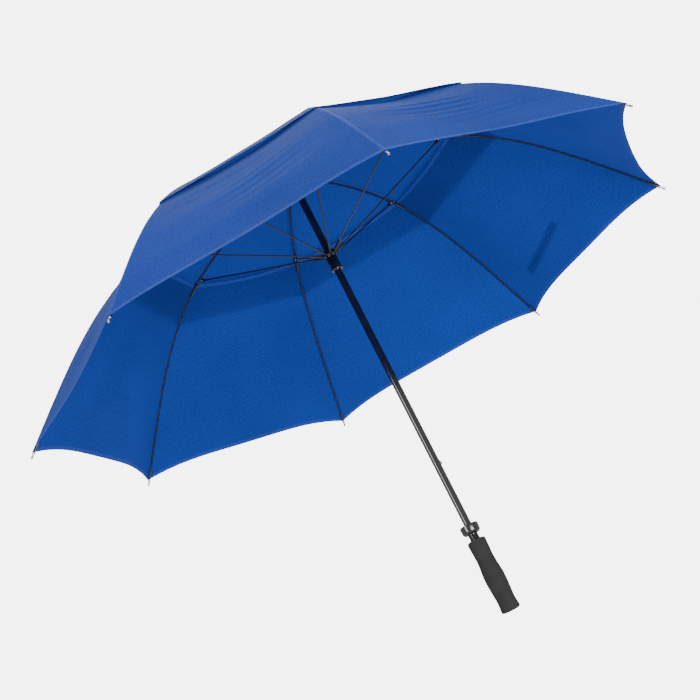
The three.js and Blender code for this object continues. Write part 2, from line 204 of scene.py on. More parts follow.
def cloth_material(name, deep, bright, glow):
    """Thin woven cloth that lets some light through, with sewn seams and hems.

    UV map "cloth" holds metres from the seam and along it.
    UV map "edges" holds metres from the two hems.
    """
    material, nodes, links, shader = new_material(name)

    def uv_pair(layer):
        uv = nodes.new("ShaderNodeUVMap")
        uv.uv_map = layer
        split = nodes.new("ShaderNodeSeparateXYZ")
        links.new(uv.outputs["UV"], split.inputs[0])
        return uv.outputs["UV"], split.outputs["X"], split.outputs["Y"]

    def combine(operation, *values):
        return math_node(nodes, links, operation, *values)

    uv, seam_side, seam_along = uv_pair("cloth")
    _, outer_hem, inner_hem = uv_pair("edges")
    place = nodes.new("ShaderNodeTexCoord").outputs["Object"]

    threads = []
    for value in (seam_side, seam_along):
        wave = combine("SINE", combine("MULTIPLY", value, 2 * math.pi / THREAD_PITCH))
        threads.append(combine("MULTIPLY_ADD", wave, 0.5))
        threads[-1].node.inputs[2].default_value = 0.5
    weave = combine("MAXIMUM", *threads)
    patches = noise(nodes, links, place, 5.0, 5.0)
    slubs = noise(nodes, links, uv, 300.0, 2.0)
    tone = combine("MULTIPLY_ADD", patches, 0.35)
    links.new(slubs, tone.node.inputs[2])

    # Seams and hems: a raised double layer with a line of stitches along its edge.
    seam_distance = combine("ABSOLUTE", seam_side)
    hem_distance = combine("MINIMUM", outer_hem, inner_hem)
    doubled = combine(
        "MAXIMUM",
        threshold(nodes, links, seam_distance, SEAM_HALF, 0.0006),
        threshold(nodes, links, hem_distance, HEM_WIDTH, 0.0006),
    )
    stitch_line = combine(
        "MINIMUM",
        combine("ABSOLUTE", combine("SUBTRACT", seam_distance, SEAM_STITCH)),
        combine("ABSOLUTE", combine("SUBTRACT", hem_distance, HEM_STITCH)),
    )
    beside = combine("ADD", seam_along, seam_side)
    dash = combine("SINE", combine("MULTIPLY", beside, 2 * math.pi / STITCH_PITCH))
    on_line = threshold(nodes, links, stitch_line, 0.0003, 0.0002)
    stitches = combine("MULTIPLY", on_line, combine("GREATER_THAN", dash, -0.35))

    color = ramp(nodes, links, tone, ((0.5, deep), (0.85, bright)))
    # Where the cloth is doubled, its colour is multiplied lighter and redder. This is partly the double layer's
    # own denser cloth and partly a painted highlight of light catching the seams and hems.
    doubled_cloth_and_highlight = nodes.new("ShaderNodeMix")
    doubled_cloth_and_highlight.data_type = "RGBA"
    doubled_cloth_and_highlight.blend_type = "MULTIPLY"
    links.new(combine("MULTIPLY", doubled, 0.6), doubled_cloth_and_highlight.inputs["Factor"])
    links.new(color, doubled_cloth_and_highlight.inputs["A"])
    doubled_cloth_and_highlight.inputs["B"].default_value = (3.0, 1.5, 1.25, 1)
    links.new(doubled_cloth_and_highlight.outputs["Result"], shader.inputs["Base Color"])
    links.new(span(nodes, links, weave, 0.66, 0.5), shader.inputs["Roughness"])

    creases = noise(nodes, links, place, 26.0, 3.0)
    raised = combine("MULTIPLY", doubled, 0.0005)
    relief = combine("ADD", raised, combine("MULTIPLY", stitches, 0.00035))
    soft = bump(nodes, links, creases, 0.004, 0.12)
    sewn = bump(nodes, links, relief, 1.0, 0.8, soft)
    grain = bump(nodes, links, slubs, 0.0007, 0.35, sewn)
    links.new(bump(nodes, links, weave, 0.00012, 0.5, grain), shader.inputs["Normal"])
    shader.inputs["Sheen Weight"].default_value = 0.05
    shader.inputs["Sheen Roughness"].default_value = 0.35
    shader.inputs["Sheen Tint"].default_value = (0.55, 0.7, 1.0, 1)
    shader.inputs["Specular IOR Level"].default_value = 0.05

    clear = nodes.new("ShaderNodeBsdfTranslucent")
    lit = tuple(min(1, c * 1.35) for c in glow)
    links.new(ramp(nodes, links, tone, ((0.5, glow), (0.85, lit))), clear.inputs["Color"])
    mix = nodes.new("ShaderNodeMixShader")
    links.new(span(nodes, links, doubled, THROUGH, THROUGH * 0.5), mix.inputs[0])
    links.new(shader.outputs[0], mix.inputs[1])
    links.new(clear.outputs[0], mix.inputs[2])
    links.new(mix.outputs[0], nodes["Material Output"].inputs["Surface"])
    return material


CLOTH = cloth_material(
    "blue_polyester", deep=(0.006, 0.03, 0.2), bright=(0.014, 0.054, 0.37), glow=(0.011, 0.038, 0.26)
)
BLACK_PAINT = hard_material(
    "black_enamel", (0.004, 0.004, 0.005), (0.01, 0.01, 0.012), 0.24, coat=0.35
)
SHAFT_PAINT = hard_material(
    "gloss_black_coating", (0.003, 0.0028, 0.0028), (0.006, 0.0056, 0.0056), 0.12,
    coat=0.4, wear=0.04, gloss=0.85,
)
BLACK_PLASTIC = hard_material(
    "gloss_black_plastic", (0.003, 0.0028, 0.0028), (0.007, 0.0066, 0.0066), 0.12,
    coat=0.5, wear=0.04, gloss=0.7,
)
NICKEL = hard_material("nickel", (0.42, 0.41, 0.4), (0.62, 0.61, 0.59), 0.16, metallic=1.0)
GUNMETAL = hard_material("gunmetal", (0.05, 0.05, 0.052), (0.09, 0.09, 0.094), 0.22, metallic=0.75)
SPRING_STEEL = hard_material("spring_steel", (0.4, 0.4, 0.4), (0.6, 0.6, 0.6), 0.3, metallic=1.0)
FOAM = hard_material(
    "black_foam", (0.007, 0.0065, 0.007), (0.015, 0.0142, 0.0148), 0.9, grain=700.0
)

SLOT_MATERIALS = {
    "canopy_fabric": CLOTH,
    "tie_strap": CLOTH,
    "frame_black": BLACK_PAINT,
    "shaft_black": SHAFT_PAINT,
    "plastic_black": BLACK_PLASTIC,
    "tip_nickel": NICKEL,
    "grip_foam": FOAM,
    "spring_wire": SPRING_STEEL,
}
node_slots = {s["node"]: s["material_slot"] for s in frame["record"]["subparts"]}
for node, obj in frame["nodes"].items():
    obj.data.materials.clear()
    obj.data.materials.append(SLOT_MATERIALS[node_slots[node]])


# ---- Making pieces ----
def new_object(name, mesh, material):
    obj = bpy.data.objects.new(name, mesh)
    bpy.context.collection.objects.link(obj)
    mesh.materials.append(material)
    return obj


def place_piece(name, mesh, material, body):
    obj = new_object(name, mesh, material)
    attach(obj, body)
    return obj


def grid_mesh(name, points, **uv_maps):
    """A smooth sheet through a grid of points (rows, columns, 3), with UVs in metres."""
    rows, columns = points.shape[:2]
    index = np.arange(rows * columns).reshape(rows, columns)
    corners = [index[:-1, :-1], index[1:, :-1], index[1:, 1:], index[:-1, 1:]]
    quads = np.stack(corners, -1).reshape(-1, 4)
    mesh = bpy.data.meshes.new(name)
    mesh.from_pydata(points.reshape(-1, 3).tolist(), [], quads.tolist())
    loops = np.zeros(len(mesh.loops), int)
    mesh.loops.foreach_get("vertex_index", loops)
    for layer_name, uvs in uv_maps.items():
        layer = mesh.uv_layers.new(name=layer_name)
        layer.data.foreach_set("uv", uvs.reshape(-1, 2)[loops].astype(np.float32).ravel())
    mesh.polygons.foreach_set("use_smooth", [True] * len(mesh.polygons))
    return mesh


# ---- Canopy cloth ----
# Gore g lies between rib index g and the next one.
# Fine ripples of some gores: (height, spacing, middle radius, reach along the rib, middle beta, slant).
FINE_RIPPLES = {
    2: [(0.0004, 0.018, 0.50, 0.04, 0.2, -0.012)],
    3: [(0.0004, 0.022, 0.52, 0.05, -0.2, 0.01)],
    4: [(0.0009, 0.021, 0.55, 0.07, -0.5, 0.012)],
    5: [(0.0005, 0.019, 0.51, 0.045, 0.25, 0.012), (0.0003, 0.024, 0.44, 0.03, -0.4, -0.008)],
    6: [(0.001, 0.021, 0.495, 0.045, 0.05, -0.016), (0.0005, 0.017, 0.56, 0.03, 0.35, 0.01)],
    7: [(0.0003, 0.02, 0.46, 0.04, 0.0, 0.01)],
}
GENTLE = [(0.00035, 0.022, 0.48, 0.05, 0.0, 0.008)]
CLOSED_VENTS = (4,)  # gores whose two layers lie close together, with hardly any vent
FLAT_RIB = 4  # the top layer is held down along this rib
LAYER_GAP = 0.0005  # left between the two layers where the top one is held down


def wrinkle(radius, beta, gore):
    """Soft ripples, zero along the ribs. beta runs from -1 at one rib to 1 at the next."""
    free = (1 - beta**2) * np.clip((radius - 0.05) / 0.2, 0, 1)
    shift = gore * 1.7
    rings = np.sin(radius * 88 + 1.3 * beta + shift) + np.sin(radius * 47 - 2.1 * beta + 2.3 * shift)
    length = np.sin(beta * 5.2 + shift) * 0.35
    total = 0.0011 * free * (rings * 0.5 + length)
    for which in range(RIBS):
        for height, spacing, middle, reach, centre, slant in FINE_RIPPLES.get(which, GENTLE):
            near = np.exp(-(((radius - middle) / reach) ** 2) - ((beta - centre) / 0.42) ** 2)
            line = radius + slant * beta + 0.004 * np.sin(beta * 4 + which)
            ripple = height * near * free * np.sin(2 * np.pi * line / spacing)
            total = total + np.where(gore == which, ripple, 0)
    return total


def vent_drop(rib, gore, near_rib, ease, lift, sag):
    """How far the top layer comes down onto the lower one in a closed vent and along the flat rib."""
    closed = np.isin(gore, CLOSED_VENTS)
    flat = rib == FLAT_RIB
    sagged = np.where(closed, (LOWER_SAG - sag) * ease * (1 - near_rib**2), 0)
    spread = near_rib**2 if flat else 1 - near_rib**8
    share = np.where(closed & flat, 1, spread) * (closed | flat)
    return sagged + (lift - LIFT - LAYER_GAP) * share


def cloth_points(rib, radius, angle, lift, sag):
    """Points of a layer beside one rib, from arrays of radius and of angle from the rib."""
    away = HALF_PITCH - np.abs(angle)
    height, slope = rib_at(radius)
    reach = radius * np.cos(HALF_PITCH) / np.cos(away)
    ease = np.minimum(1, radius / HEM_RADIUS)
    side = np.where(angle >= 0, 1.0, -1.0)
    gore = (rib + np.where(angle >= 0, 0, -1)) % RIBS
    near_rib = away / HALF_PITCH
    up = lift - sag * ease * (1 - near_rib**2) + wrinkle(radius, -side * near_rib, gore)
    if sag != LOWER_SAG:
        drop = vent_drop(rib, gore, near_rib, ease, lift, sag)
        up = up - drop * np.clip(radius / 0.3, 0, 1) ** 2
    out = reach + up * np.sin(slope)
    direction = rib * PITCH + angle
    z = height + up * np.cos(slope)
    return np.stack([out * np.cos(direction), out * np.sin(direction), z], -1)


def layer_grid(rib, side, inner, outer, scallop_in, scallop_out, rows, columns):
    """Radius and angle grids for half a sector, from the rib to midway to the next one on that side."""
    across = np.linspace(0, 1, columns)[None, :]
    along = np.linspace(0, 1, rows)[:, None]
    bow = 1 - (1 - across) ** 4
    first = inner - scallop_in * bow
    last = outer - scallop_out * bow
    radius = first + (last - first) * along
    angle = side * HALF_PITCH * across * np.ones_like(radius)
    return radius, angle


def fold_with(obj, rib, side, start, end, bulge, tilt, keep):
    """Gives the piece its own copy of its mesh; it does not gather the cloth onto the rib.

    start and end, (radius, height) on the rib, are not used.
    """
    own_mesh(obj)


def cloth_area(points):
    """Area of a grid of points, with each quad taken as two triangles."""
    low_row = points[1:, :-1] - points[:-1, :-1]
    low_column = points[:-1, 1:] - points[:-1, :-1]
    high_row = points[1:, :-1] - points[1:, 1:]
    high_column = points[:-1, 1:] - points[1:, 1:]
    low = np.linalg.norm(np.cross(low_row, low_column), axis=-1).sum()
    high = np.linalg.norm(np.cross(high_row, high_column), axis=-1).sum()
    return 0.5 * (low + high)


COLUMNS = 24  # of points in each half sector, from its rib to the middle of the gore
TINY = 1e-4  # step in metres and in radians, for the surface's normals


def half_sector(name, rib, side, body, layer):
    """One layer's cloth from a rib to the middle of the gore on one side.

    Returns the piece, and its width, length and area in metres.
    """
    rows = layer["rows"]
    radius, angle = layer_grid(
        rib, side, layer["inner"], layer["outer"], layer["cut_in"], layer["cut_out"], rows, COLUMNS
    )

    def surface(at_radius, at_angle):
        return cloth_points(rib, at_radius, at_angle, layer["lift"], layer["sag"])

    points = surface(radius, angle)
    along = np.linalg.norm(np.diff(points, axis=0), axis=-1).cumsum(0)
    along = np.vstack([np.zeros((1, COLUMNS)), along])
    across = np.linalg.norm(np.diff(points, axis=1), axis=-1).cumsum(1)
    across = np.hstack([np.zeros((rows, 1)), across])
    uvs = np.stack([across * side, along + layer["inner"]], -1)
    hems = np.ones((rows, COLUMNS, 2))
    if layer["hem_out"]:
        hems[..., 0] = along[-1] - along
    if layer["hem_in"]:
        hems[..., 1] = along
    outward = surface(radius + TINY, angle) - surface(radius - TINY, angle)
    sideways = surface(radius, angle + side * TINY) - points
    normals = np.cross(outward, sideways) * side
    normals /= np.linalg.norm(normals, axis=-1, keepdims=True)
    if side < 0:
        points, uvs, hems, normals = points[:, ::-1], uvs[:, ::-1], hems[:, ::-1], normals[:, ::-1]
    mesh = grid_mesh(name, points, cloth=uvs, edges=hems)
    obj = place_piece(name, mesh, CLOTH, body)
    mesh.normals_split_custom_set_from_vertices(normals.reshape(-1, 3).tolist())
    width = float(across[-1].max())
    length = float(along.max())
    return obj, width, length, float(cloth_area(points))


# How each layer is cut and hung. Bulge, tilt and keep are what fold_with takes.
OUTER_RUN = ((FLEX[0], FLEX[2]), (TIP_RADIUS, TIP_HEIGHT))
INNER_RUN = ((CROWN[0], CROWN[2]), (FLEX[0], FLEX[2]))
LOWER_GATHER = dict(bulge=0.026, tilt=0.24, keep=0.12)
LAYERS = {
    "lower_cloth": dict(
        inner=HEM_RADIUS, outer=CORNER_RADIUS, cut_in=0, cut_out=RIM_SCALLOP,
        lift=LIFT, sag=LOWER_SAG, hem_in=True, hem_out=True, rows=110,
        node="lower_canopy", body="rib_outer", run=OUTER_RUN, gather=LOWER_GATHER,
    ),
    "top_cloth": dict(
        inner=CANOPY_HOLE, outer=FLEX[0], cut_in=0, cut_out=0,
        lift=TOP_LIFT, sag=TOP_SAG, hem_in=False, hem_out=False, rows=24,
        node="top_canopy", body="rib_inner", run=INNER_RUN,
        gather=dict(bulge=0.02, tilt=0.05, keep=0.18),
    ),
    "vent_cloth": dict(
        inner=FLEX[0], outer=VENT_RADIUS, cut_in=0, cut_out=VENT_SCALLOP,
        lift=TOP_LIFT, sag=TOP_SAG, hem_in=False, hem_out=True, rows=10,
        node="top_canopy", body="rib_outer", run=OUTER_RUN,
        gather=dict(bulge=0.026, tilt=0.16, keep=0.125),
    ),
}

for rib in range(RIBS):
    number = rib + 1
    for side, hand in ((1, "a"), (-1, "b")):
        for kind, layer in LAYERS.items():
            name = f"{kind}_{number}{hand}"
            body = f"{layer['body']}_{number}"
            piece, width, length, area = half_sector(name, rib, side, body, layer)
            fold_with(piece, rib, side, *layer["run"], **layer["gather"])
            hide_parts(f"{layer['node']}_{number}")


# ---- Tie strap, lying on the outside of the lower layer beside the second rib ----
STRAP_RIB = 1
STRAP_RUN = ((0.589, -0.133), (0.563, -0.44))  # (radius, angle from the rib) of its two ends
STRAP_HALF = 0.0065
STRAP_BASE = LIFT + 0.0016
STRAP_THICK = 0.0011
# Round the strap's cross-section: (across from -1 to 1, height from 0 to 1).
STRAP_SECTION = [
    (-1, 0.35), (-0.93, 0.9), (-0.75, 1), (0, 1), (0.75, 1),
    (0.93, 0.9), (1, 0.35), (0.93, 0.05), (0, 0), (-0.93, 0.05),
]


def strap_points(u, v, up):
    """Points on the strap: u runs along it, v across it from -1 to 1, up is above its underside."""
    ends = np.clip(1 - np.minimum(u, 1 - u) / 0.03, 0, 1)
    half = STRAP_HALF * (1 - 0.35 * ends**3)
    (first_radius, first_angle), (last_radius, last_angle) = STRAP_RUN
    radius = first_radius + (last_radius - first_radius) * u + v * half
    angle = first_angle + (last_angle - first_angle) * u
    return cloth_points(STRAP_RIB, radius, angle, STRAP_BASE + up, LOWER_SAG)


def make_strap(count=60, beside_hem=0.0046):
    """The strap's mesh, finished width and length. Its stitches start beside_hem in from its edges."""
    ring = np.array(STRAP_SECTION + STRAP_SECTION[:1])
    ring_v, ring_up = ring[:, 0], ring[:, 1] * STRAP_THICK
    u = np.linspace(0, 1, count)[:, None] * np.ones(len(ring))
    points = strap_points(u, ring_v * np.ones_like(u), ring_up * np.ones_like(u))
    middle = strap_points(u[:, 0], 0 * u[:, 0], 0 * u[:, 0])
    length = float(np.linalg.norm(np.diff(middle, axis=0), axis=-1).sum())
    uvs = np.stack([0.02 + ring_v * STRAP_HALF * np.ones_like(u), u * length], -1)
    from_side = STRAP_HALF * (1 - np.abs(ring_v)) * np.ones_like(u) + beside_hem
    from_end = np.minimum(u, 1 - u) * length + beside_hem
    edges = np.stack([from_side, from_end], -1)
    mesh = grid_mesh("strap", points[:, ::-1], cloth=uvs[:, ::-1], edges=edges[:, ::-1])
    width = float(np.linalg.norm(points[count // 2, 0] - points[count // 2, 6]))
    return mesh, width, length


strap_mesh, strap_width, strap_length = make_strap()
strap = place_piece("strap", strap_mesh, CLOTH, f"rib_outer_{STRAP_RIB + 1}")
fold_with(strap, STRAP_RIB, -1, *OUTER_RUN, **LOWER_GATHER)
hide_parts("tie_strap")


# ---- Hardware shapes: each is (vertices in metres, faces) ----
def smooth_by_angle(mesh, degrees=38):
    mesh.polygons.foreach_set("use_smooth", [True] * len(mesh.polygons))
    mesh.set_sharp_from_angle(angle=math.radians(degrees))
    return mesh


def shape(name, verts, faces):
    mesh = bpy.data.meshes.new(name)
    mesh.from_pydata([tuple(map(float, v)) for v in verts], [], faces)
    mesh.update()
    return smooth_by_angle(mesh)


def lathe(profile, segments=48, closed=False):
    """Vertices and faces of a turned shape about Z. profile holds (radius, height) in millimetres."""
    rings = len(profile)
    turn = np.arange(segments) * 2 * math.pi / segments
    rounds = [[(r * math.cos(a), r * math.sin(a), z) for a in turn] for r, z in profile]
    points = np.array(rounds) / 1000
    faces = []
    for i in range(rings if closed else rings - 1):
        n = (i + 1) % rings
        for k in range(segments):
            m = (k + 1) % segments
            faces.append((i * segments + k, i * segments + m, n * segments + m, n * segments + k))
    return points.reshape(-1, 3), faces


def sweep(path, section):
    """A rod along path, which is (x, z) in metres in the rib's plane.

    section(t) gives its cross-section as (up, side) points in millimetres, with t from 0 to 1.
    """
    path = np.array(path, float)
    tangent = np.gradient(path, axis=0)
    tangent /= np.linalg.norm(tangent, axis=1, keepdims=True)
    verts = []
    for k, ((x, z), (tx, tz)) in enumerate(zip(path, tangent)):
        ring = section(k / (len(path) - 1))
        verts += [(x - tz * u / 1000, v / 1000, z + tx * u / 1000) for u, v in ring]
    sides = len(ring)
    faces = [
        (k * sides + i, k * sides + (i + 1) % sides, (k + 1) * sides + (i + 1) % sides, (k + 1) * sides + i)
        for k in range(len(path) - 1)
        for i in range(sides)
    ]
    faces += [tuple(range(sides))[::-1], tuple((len(path) - 1) * sides + i for i in range(sides))]
    return np.array(verts), faces


def round_section(radius, sides):
    """A circle whose radius(t) changes along the rod."""
    turn = np.arange(sides) * 2 * math.pi / sides
    return lambda t: [(radius(t) * math.cos(a), radius(t) * math.sin(a)) for a in turn]


def end_softened(full, end):
    """A radius that is smaller at the very ends of a rod."""
    return lambda t: end if t in (0, 1) else full


def channel_section(radius, slot=0.75, depth=1.5):
    """A rod with a groove along its underside."""
    turn = np.linspace(math.pi + 0.45, 3 * math.pi - 0.45, 15)
    rim = [(radius * math.cos(a), radius * math.sin(a)) for a in turn]
    floor = -radius + depth
    ring = rim + [(floor, slot * 0.9), (floor, -slot * 0.9)]
    return lambda t: ring


def block(size, at, bevel=0.3):
    """A bevelled block. size and centre are in millimetres."""
    bm = bmesh.new()
    bmesh.ops.create_cube(bm, size=1)
    bmesh.ops.scale(bm, vec=size, verts=bm.verts)
    bmesh.ops.bevel(bm, geom=bm.edges[:], offset=bevel, segments=2, affect="EDGES", profile=0.5)
    bmesh.ops.translate(bm, vec=at, verts=bm.verts)
    verts = np.array([v.co for v in bm.verts]) / 1000
    faces = [tuple(v.index for v in f.verts) for f in bm.faces]
    bm.free()
    return verts, faces


def along_y(profile, segments, at=(0, 0)):
    """A turned shape laid along Y, with its axis through (x, z) in millimetres."""
    verts, faces = lathe(profile, segments)
    x, z = at
    return np.stack([verts[:, 0] + x / 1000, -verts[:, 2], verts[:, 1] + z / 1000], -1), faces


def drum(radius, width, at=(0, 0), bevel=0.25):
    """A disc or pin along Y with softened edges, in millimetres."""
    half = width / 2
    profile = [
        (0, -half), (radius - bevel, -half), (radius, -half + bevel),
        (radius, half - bevel), (radius - bevel, half), (0, half),
    ]
    return along_y(profile, 20, at)


def rivet(width, head):
    """A domed pin along Y, in millimetres."""
    half = width / 2
    quarter = np.linspace(0, math.pi / 2, 6)
    dome = [(head * math.cos(a), half + 0.75 * head * math.sin(a)) for a in quarter]
    return along_y([(r, -z) for r, z in reversed(dome)] + dome, 18)


def together(*shapes):
    verts, faces, start = [], [], 0
    for v, f in shapes:
        verts.append(np.asarray(v))
        faces += [tuple(i + start for i in face) for face in f]
        start += len(v)
    return np.concatenate(verts), faces


def both_sides(shape_data, distance):
    """Two copies of a shape, moved apart along Y."""
    verts, faces = shape_data
    return together((verts + (0, distance, 0), faces), (verts - (0, distance, 0), faces))


def turned_to(shape_data, angle, x, z):
    """Turns a shape in the rib's plane so that +X points down by angle, and moves it to (x, z)."""
    verts, faces = shape_data
    c, s = math.cos(angle), math.sin(angle)
    turned_x = verts[:, 0] * c + verts[:, 2] * s + x
    turned_z = -verts[:, 0] * s + verts[:, 2] * c + z
    return np.stack([turned_x, verts[:, 1], turned_z], -1), faces


def rib_path(start, end, count):
    radius = np.linspace(start, end, count)
    return np.stack([radius, rib_at(radius)[0]], -1)


def on_each_rib(name, shape_data, material, body, replaced=None):
    verts, faces = shape_data
    for rib in range(RIBS):
        mesh = shape(f"{name}_{rib + 1}", verts, faces)
        mesh.transform(Matrix.Rotation(rib * PITCH, 4, "Z"))
        obj = place_piece(mesh.name, mesh, material, f"{body}_{rib + 1}")
        if replaced:
            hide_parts(f"{replaced}_{rib + 1}")


# ---- Ribs, tips and stretchers ----
KNEE_ON_RIB = KNEE[0] + 0.00225  # where the lug meets the rib's centreline
RIB_END = TIP_RADIUS - 0.0075
TIP_LENGTH = 14
RUNNER_PIVOT = (0.012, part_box("runner")[1][2] - 0.005)
THIN_CHANNEL = channel_section(1.5, 0.6, 1.0)
knee_height, knee_slope = (float(v) for v in rib_at(KNEE_ON_RIB))
flex_slope = float(rib_at(FLEX[0])[1])
tip_slope = float(rib_at(TIP_RADIUS)[1])


def at_flex(shape_data):
    return turned_to(shape_data, flex_slope, FLEX[0], FLEX[2])


lug = together(
    sweep([(-0.0055, 0), (-0.005, 0), (0.005, 0), (0.0055, 0)], round_section(end_softened(2.5, 2.1), 16)),
    block((6, 1.9, 7), (0, 0, -3.5), 0.4),
    drum(2.4, 1.9, (0, -7)),
)
inner_rib = together(
    sweep(rib_path(CROWN[0], FLEX[0] - 0.004, 40), channel_section(1.8)),
    drum(2.2, 2.3, (CROWN[0] * 1000, CROWN[2] * 1000)),
    at_flex(together(drum(2.6, 1.8), block((6, 1.8, 3), (-3, 0, 0)))),
    turned_to(lug, knee_slope, KNEE_ON_RIB, knee_height),
)
on_each_rib("rib_channel", inner_rib, BLACK_PAINT, "rib_inner", "rib_inner")


def crimped(t):
    """Radius of the sleeve along its length: softened ends and two crimps."""
    end = 2.0 if t < 0.03 or t > 0.97 else 2.5
    return end - 0.45 * math.exp(-((t - 0.55) / 0.035) ** 2) - 0.45 * math.exp(-((t - 0.8) / 0.035) ** 2)


flex_fork = both_sides(together(drum(2.9, 1.2), block((8, 1.2, 4.6), (3.6, 0, 0))), 0.00185)
outer_rib = together(
    at_flex(flex_fork),
    sweep(rib_path(FLEX[0] + 0.0055, FLEX[0] + 0.031, 44), round_section(crimped, 16)),
    sweep(rib_path(FLEX[0] + 0.029, RIB_END, 56), THIN_CHANNEL),
    sweep(
        rib_path(TIP_RADIUS - 0.0235, TIP_RADIUS - 0.0105, 8), round_section(end_softened(2.3, 1.9), 14)
    ),
)
on_each_rib("rib_rod", outer_rib, BLACK_PAINT, "rib_outer", "rib_outer")
on_each_rib("flex_rivet", at_flex(rivet(5.2, 1.5)), NICKEL, "rib_outer")

# The tip's outline, from its open end to its rounded nose: (radius, distance along).
TIP_OUTLINE = [
    (1.85, 0.3), (2.2, 0), (2.5, 0.4), (2.55, 1.6), (2.5, 3), (2.1, 4), (1.95, 5), (1.95, 9.6),
    (2.1, 10.4), (2.4, 11.2), (2.45, 12), (2.3, 13), (1.7, 13.8), (0.8, TIP_LENGTH), (0, TIP_LENGTH),
]
tip_verts, tip_faces = lathe(TIP_OUTLINE, 24)
tip_along = np.stack([tip_verts[:, 2] - TIP_LENGTH / 1000, tip_verts[:, 1], -tip_verts[:, 0]], -1)
rib_tip = turned_to((tip_along, tip_faces), tip_slope, TIP_RADIUS, TIP_HEIGHT)
on_each_rib("tip", rib_tip, NICKEL, "rib_outer", "rib_tip")

STRETCH = Vector((RUNNER_PIVOT[0] - KNEE[0], RUNNER_PIVOT[1] - KNEE[2]))
stretch_length = STRETCH.length * 1000
stretch_angle = math.atan2(-STRETCH.y, STRETCH.x)


def at_knee(shape_data):
    return turned_to(shape_data, stretch_angle, KNEE[0], KNEE[2])


def straight(start, end, section, steps):
    """A straight rod along the stretcher, between two distances from the knee in millimetres."""
    return sweep([(x / 1000, 0) for x in np.linspace(start, end, steps)], section)


def neck_down(t):
    """Radius of the stretcher's socket, which narrows over its last fifth."""
    return 2.3 - 0.5 * max(0, t - 0.8) * 5


def prong(t):
    """The flattened end that hooks into the runner, as an eight-sided section that grows at first."""
    grow = min(1, t / 0.12)
    up, side = 1.4 + 1.1 * grow, 1.3 + 0.3 * grow
    corner = 0.55
    return [
        (up, side - corner), (up, -side + corner), (up - corner, -side), (-up + corner, -side),
        (-up, -side + corner), (-up, side - corner), (-up + corner, side), (up - corner, side),
    ]


stretcher = together(
    both_sides(together(drum(2.8, 1.15), block((9, 1.15, 4.4), (4, 0, 0))), 0.00195),
    straight(6.5, 16, round_section(neck_down, 16), 24),
    straight(14, stretch_length - 25.5, THIN_CHANNEL, 12),
)
stretcher_end = together(
    straight(stretch_length - 27, stretch_length - 1, prong, 26),
    drum(2.2, 3.2, (stretch_length, 0)),
)
on_each_rib("stretcher_arm", at_knee(stretcher), BLACK_PAINT, "stretcher", "stretcher")
on_each_rib("prong", at_knee(stretcher_end), GUNMETAL, "stretcher", "stretcher")
on_each_rib("knee_rivet", at_knee(rivet(5.4, 1.6)), NICKEL, "stretcher")


# ---- Shaft and the pieces turned about it ----
def cut_with(obj, cutters):
    """Cuts boxes out of a piece. Each cutter is (size in mm, centre in mm, turn about Z)."""
    for size, at, turn in cutters:
        bpy.ops.mesh.primitive_cube_add(size=1)
        tool = bpy.context.object
        tool.data.transform(
            Matrix.Rotation(turn, 4, "Z")
            @ Matrix.Translation(Vector(at) / 1000)
            @ Matrix.Diagonal((*(v / 1000 for v in size), 1))
        )
        modifier = obj.modifiers.new("cut", "BOOLEAN")
        modifier.object = tool
        modifier.operation = "DIFFERENCE"
        modifier.solver = "EXACT"
        with bpy.context.temp_override(object=obj, active_object=obj, selected_objects=[obj]):
            bpy.ops.object.modifier_apply(modifier=modifier.name)
        bpy.data.objects.remove(tool)
    smooth_by_angle(obj.data)


def turned_piece(name, profile, material, body, node, segments=64, closed=True, cutters=()):
    """A piece turned about the shaft's axis, that stands in for one CAD node."""
    mesh = shape(name, *lathe(profile, segments, closed))
    obj = new_object(name, mesh, material)
    if cutters:
        cut_with(obj, cutters)
    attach(obj, body)
    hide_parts(node)


def edge_round(r, z, radius, quarter):
    """Points of a quarter round with its centre at (r, z). quarter 0 runs from +r to +z."""
    turn = np.linspace(0, math.pi / 2, 5) + quarter * math.pi / 2
    return [(r + radius * math.cos(a), z + radius * math.sin(a)) for a in turn]


def through_points(points, count):
    """A smooth line through points, evenly sampled (a Catmull-Rom line)."""
    points = np.array(points)
    points = np.vstack([2 * points[0] - points[1], points, 2 * points[-1] - points[-2]])
    out = []
    for i in range(1, len(points) - 2):
        p0, p1, p2, p3 = points[i - 1 : i + 3]
        for t in np.linspace(0, 1, count, endpoint=False):
            bend = (2 * p0 - 5 * p1 + 4 * p2 - p3) * t**2 + (3 * p1 - p0 - 3 * p2 + p3) * t**3
            out.append(0.5 * (2 * p1 + (p2 - p0) * t + bend))
    out.append(points[-2])
    return [tuple(p) for p in out]


def raised(outline, z):
    """Moves (radius, height) points up by z."""
    return [(r, z + h) for r, h in outline]


def heights(node):
    """Lowest and highest points of a CAD node at rest, in millimetres."""
    low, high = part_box(node)
    return low[2] * 1000, high[2] * 1000


# Radii in millimetres that several turned pieces share.
SHAFT_OUTSIDE = 7
SHAFT_INSIDE = 6
BORE = 7.4  # of the pieces round the shaft

CATCH_TURN = -HALF_PITCH  # both catches point between two stretchers
CATCH_SLOT = (8, 2.3, 19)
top_catch = heights("top_spring")[1]
low_catch = heights("bottom_spring")[1] - 13
shaft_low, shaft_high = heights("shaft")
turned_piece(
    "shaft_tube",
    [
        (SHAFT_INSIDE, shaft_low), (SHAFT_OUTSIDE, shaft_low),
        (SHAFT_OUTSIDE, shaft_high), (SHAFT_INSIDE, shaft_high),
    ],
    SHAFT_PAINT, "shaft", "shaft",
    cutters=[(CATCH_SLOT, (8, 0, z), CATCH_TURN) for z in (top_catch - 6.5, low_catch + 6.5)],
)

